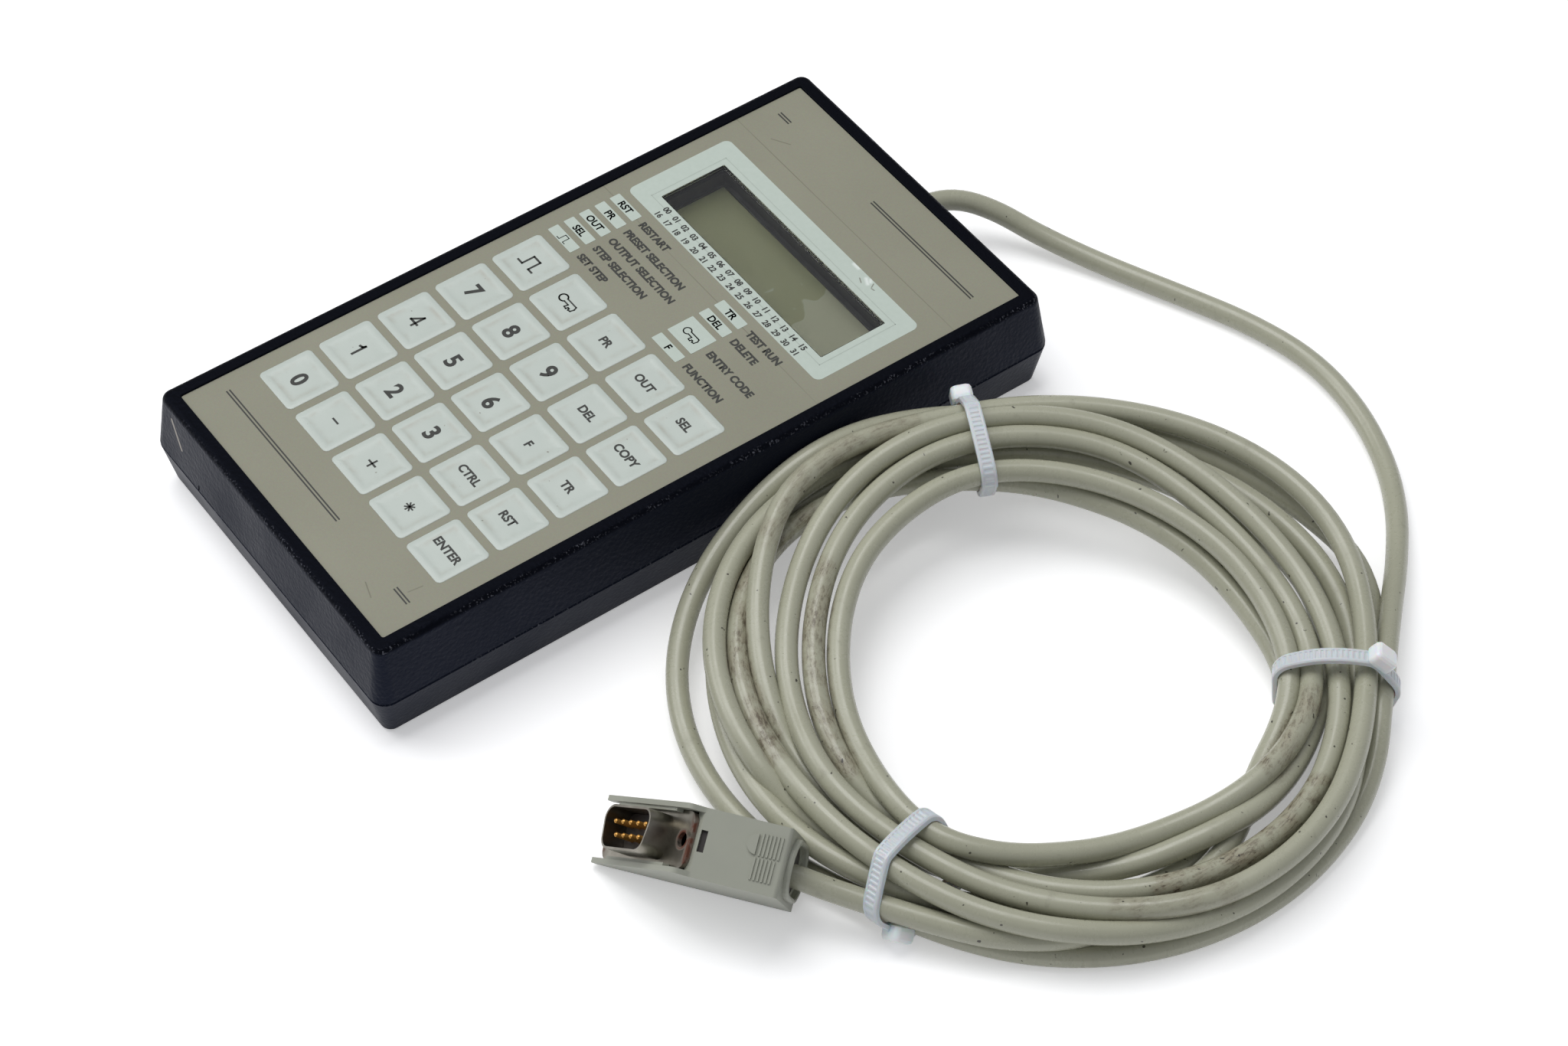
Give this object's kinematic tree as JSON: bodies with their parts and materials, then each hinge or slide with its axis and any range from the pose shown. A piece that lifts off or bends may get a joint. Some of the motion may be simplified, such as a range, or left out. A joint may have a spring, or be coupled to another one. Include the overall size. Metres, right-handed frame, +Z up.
{
  "type": "programming terminal",
  "caption": "Handheld programming terminal with a membrane key front, a two-line display window and a coiled data cable that ends in a slanted D-type plug.",
  "frame": {"origin": "on the table, under the middle of the case, without its cable", "axes": "+X to the case's right side, +Y along the case to the end where the cable leaves, +Z up out of the keys"},
  "size_m": [0.2393, 0.232, 0.0274],
  "materials": {
    "case_black": "fine leather grain ABS",
    "film_beige": "matte printed polyester",
    "film_clear": "plain polyester",
    "key_pale": "embossed matte polyester",
    "window_clear": "clear sheet",
    "gasket_black": "foam rubber",
    "bezel_black": "black pressed sheet",
    "display_olive": "reflective liquid crystal glass",
    "board_green": "glass-fibre board",
    "chip_black": "moulded epoxy",
    "can_metal": "plain can",
    "spring_steel": "rolled sheet",
    "screw_steel": "zinc plated",
    "cable_beige": "semi-gloss PVC",
    "bush_rubber": "moulded rubber",
    "hood_grey": "moulded ABS",
    "shell_nickel": "dull nickel plate",
    "pin_gold": "gold flash",
    "tie_nylon": "natural nylon"
  },
  "bodies": {
    "terminal": {"top_shell": "case_black", "bottom_shell": "case_black", "case_screws": "screw_steel", "front_film": "film_beige", "spacer_layer": "film_clear", "circuit_layer": "film_clear", "snap_domes": "spring_steel", "keypad_tail": "film_clear", "display_window": "window_clear", "display_gasket": "gasket_black", "display_bezel": "bezel_black", "display_glass": "display_olive", "display_board": "board_green", "display_screws": "screw_steel", "main_board": "board_green", "board_screws": "screw_steel", "chips": "chip_black", "board_parts": "can_metal", "headers": "chip_black", "cable_leads": "cable_beige", "cable_inner_end": "cable_beige", "cable_clamp": "chip_black", "cable_bush": "bush_rubber", "cable_tail": "cable_beige", "cable_coil": "cable_beige", "cable_lead": "cable_beige", "plug_hood": "hood_grey", "plug_cover": "hood_grey", "plug_shell": "shell_nickel", "plug_insulator": "chip_black", "plug_pins": "pin_gold", "plug_clamp": "hood_grey", "tie_top": "tie_nylon", "tie_right": "tie_nylon", "tie_bottom": "tie_nylon"},
    "key_zero_body": {"key_zero": "key_pale"},
    "key_minus_body": {"key_minus": "key_pale"},
    "key_plus_body": {"key_plus": "key_pale"},
    "key_star_body": {"key_star": "key_pale"},
    "key_enter_body": {"key_enter": "key_pale"},
    "key_one_body": {"key_one": "key_pale"},
    "key_two_body": {"key_two": "key_pale"},
    "key_three_body": {"key_three": "key_pale"},
    "key_control_body": {"key_control": "key_pale"},
    "key_reset_body": {"key_reset": "key_pale"},
    "key_four_body": {"key_four": "key_pale"},
    "key_five_body": {"key_five": "key_pale"},
    "key_six_body": {"key_six": "key_pale"},
    "key_function_body": {"key_function": "key_pale"},
    "key_time_body": {"key_time": "key_pale"},
    "key_seven_body": {"key_seven": "key_pale"},
    "key_eight_body": {"key_eight": "key_pale"},
    "key_nine_body": {"key_nine": "key_pale"},
    "key_delete_body": {"key_delete": "key_pale"},
    "key_copy_body": {"key_copy": "key_pale"},
    "key_pulse_body": {"key_pulse": "key_pale"},
    "key_lock_body": {"key_lock": "key_pale"},
    "key_page_body": {"key_page": "key_pale"},
    "key_output_body": {"key_output": "key_pale"},
    "key_step_body": {"key_step": "key_pale"}
  },
  "joints": [
    {"name": "key_zero_press", "type": "slide", "parent": "terminal", "child": "key_zero_body", "axis": [0, 0, -1], "range_m": [0, 0.0004], "stiffness_N_per_m": 600, "springref_m": -0.0004},
    {"name": "key_minus_press", "type": "slide", "parent": "terminal", "child": "key_minus_body", "axis": [0, 0, -1], "range_m": [0, 0.0004], "stiffness_N_per_m": 600, "springref_m": -0.0004},
    {"name": "key_plus_press", "type": "slide", "parent": "terminal", "child": "key_plus_body", "axis": [0, 0, -1], "range_m": [0, 0.0004], "stiffness_N_per_m": 600, "springref_m": -0.0004},
    {"name": "key_star_press", "type": "slide", "parent": "terminal", "child": "key_star_body", "axis": [0, 0, -1], "range_m": [0, 0.0004], "stiffness_N_per_m": 600, "springref_m": -0.0004},
    {"name": "key_enter_press", "type": "slide", "parent": "terminal", "child": "key_enter_body", "axis": [0, 0, -1], "range_m": [0, 0.0004], "stiffness_N_per_m": 600, "springref_m": -0.0004},
    {"name": "key_one_press", "type": "slide", "parent": "terminal", "child": "key_one_body", "axis": [0, 0, -1], "range_m": [0, 0.0004], "stiffness_N_per_m": 600, "springref_m": -0.0004},
    {"name": "key_two_press", "type": "slide", "parent": "terminal", "child": "key_two_body", "axis": [0, 0, -1], "range_m": [0, 0.0004], "stiffness_N_per_m": 600, "springref_m": -0.0004},
    {"name": "key_three_press", "type": "slide", "parent": "terminal", "child": "key_three_body", "axis": [0, 0, -1], "range_m": [0, 0.0004], "stiffness_N_per_m": 600, "springref_m": -0.0004},
    {"name": "key_control_press", "type": "slide", "parent": "terminal", "child": "key_control_body", "axis": [0, 0, -1], "range_m": [0, 0.0004], "stiffness_N_per_m": 600, "springref_m": -0.0004},
    {"name": "key_reset_press", "type": "slide", "parent": "terminal", "child": "key_reset_body", "axis": [0, 0, -1], "range_m": [0, 0.0004], "stiffness_N_per_m": 600, "springref_m": -0.0004},
    {"name": "key_four_press", "type": "slide", "parent": "terminal", "child": "key_four_body", "axis": [0, 0, -1], "range_m": [0, 0.0004], "stiffness_N_per_m": 600, "springref_m": -0.0004},
    {"name": "key_five_press", "type": "slide", "parent": "terminal", "child": "key_five_body", "axis": [0, 0, -1], "range_m": [0, 0.0004], "stiffness_N_per_m": 600, "springref_m": -0.0004},
    {"name": "key_six_press", "type": "slide", "parent": "terminal", "child": "key_six_body", "axis": [0, 0, -1], "range_m": [0, 0.0004], "stiffness_N_per_m": 600, "springref_m": -0.0004},
    {"name": "key_function_press", "type": "slide", "parent": "terminal", "child": "key_function_body", "axis": [0, 0, -1], "range_m": [0, 0.0004], "stiffness_N_per_m": 600, "springref_m": -0.0004},
    {"name": "key_time_press", "type": "slide", "parent": "terminal", "child": "key_time_body", "axis": [0, 0, -1], "range_m": [0, 0.0004], "stiffness_N_per_m": 600, "springref_m": -0.0004},
    {"name": "key_seven_press", "type": "slide", "parent": "terminal", "child": "key_seven_body", "axis": [0, 0, -1], "range_m": [0, 0.0004], "stiffness_N_per_m": 600, "springref_m": -0.0004},
    {"name": "key_eight_press", "type": "slide", "parent": "terminal", "child": "key_eight_body", "axis": [0, 0, -1], "range_m": [0, 0.0004], "stiffness_N_per_m": 600, "springref_m": -0.0004},
    {"name": "key_nine_press", "type": "slide", "parent": "terminal", "child": "key_nine_body", "axis": [0, 0, -1], "range_m": [0, 0.0004], "stiffness_N_per_m": 600, "springref_m": -0.0004},
    {"name": "key_delete_press", "type": "slide", "parent": "terminal", "child": "key_delete_body", "axis": [0, 0, -1], "range_m": [0, 0.0004], "stiffness_N_per_m": 600, "springref_m": -0.0004},
    {"name": "key_copy_press", "type": "slide", "parent": "terminal", "child": "key_copy_body", "axis": [0, 0, -1], "range_m": [0, 0.0004], "stiffness_N_per_m": 600, "springref_m": -0.0004},
    {"name": "key_pulse_press", "type": "slide", "parent": "terminal", "child": "key_pulse_body", "axis": [0, 0, -1], "range_m": [0, 0.0004], "stiffness_N_per_m": 600, "springref_m": -0.0004},
    {"name": "key_lock_press", "type": "slide", "parent": "terminal", "child": "key_lock_body", "axis": [0, 0, -1], "range_m": [0, 0.0004], "stiffness_N_per_m": 600, "springref_m": -0.0004},
    {"name": "key_page_press", "type": "slide", "parent": "terminal", "child": "key_page_body", "axis": [0, 0, -1], "range_m": [0, 0.0004], "stiffness_N_per_m": 600, "springref_m": -0.0004},
    {"name": "key_output_press", "type": "slide", "parent": "terminal", "child": "key_output_body", "axis": [0, 0, -1], "range_m": [0, 0.0004], "stiffness_N_per_m": 600, "springref_m": -0.0004},
    {"name": "key_step_press", "type": "slide", "parent": "terminal", "child": "key_step_body", "axis": [0, 0, -1], "range_m": [0, 0.0004], "stiffness_N_per_m": 600, "springref_m": -0.0004}
  ]
}
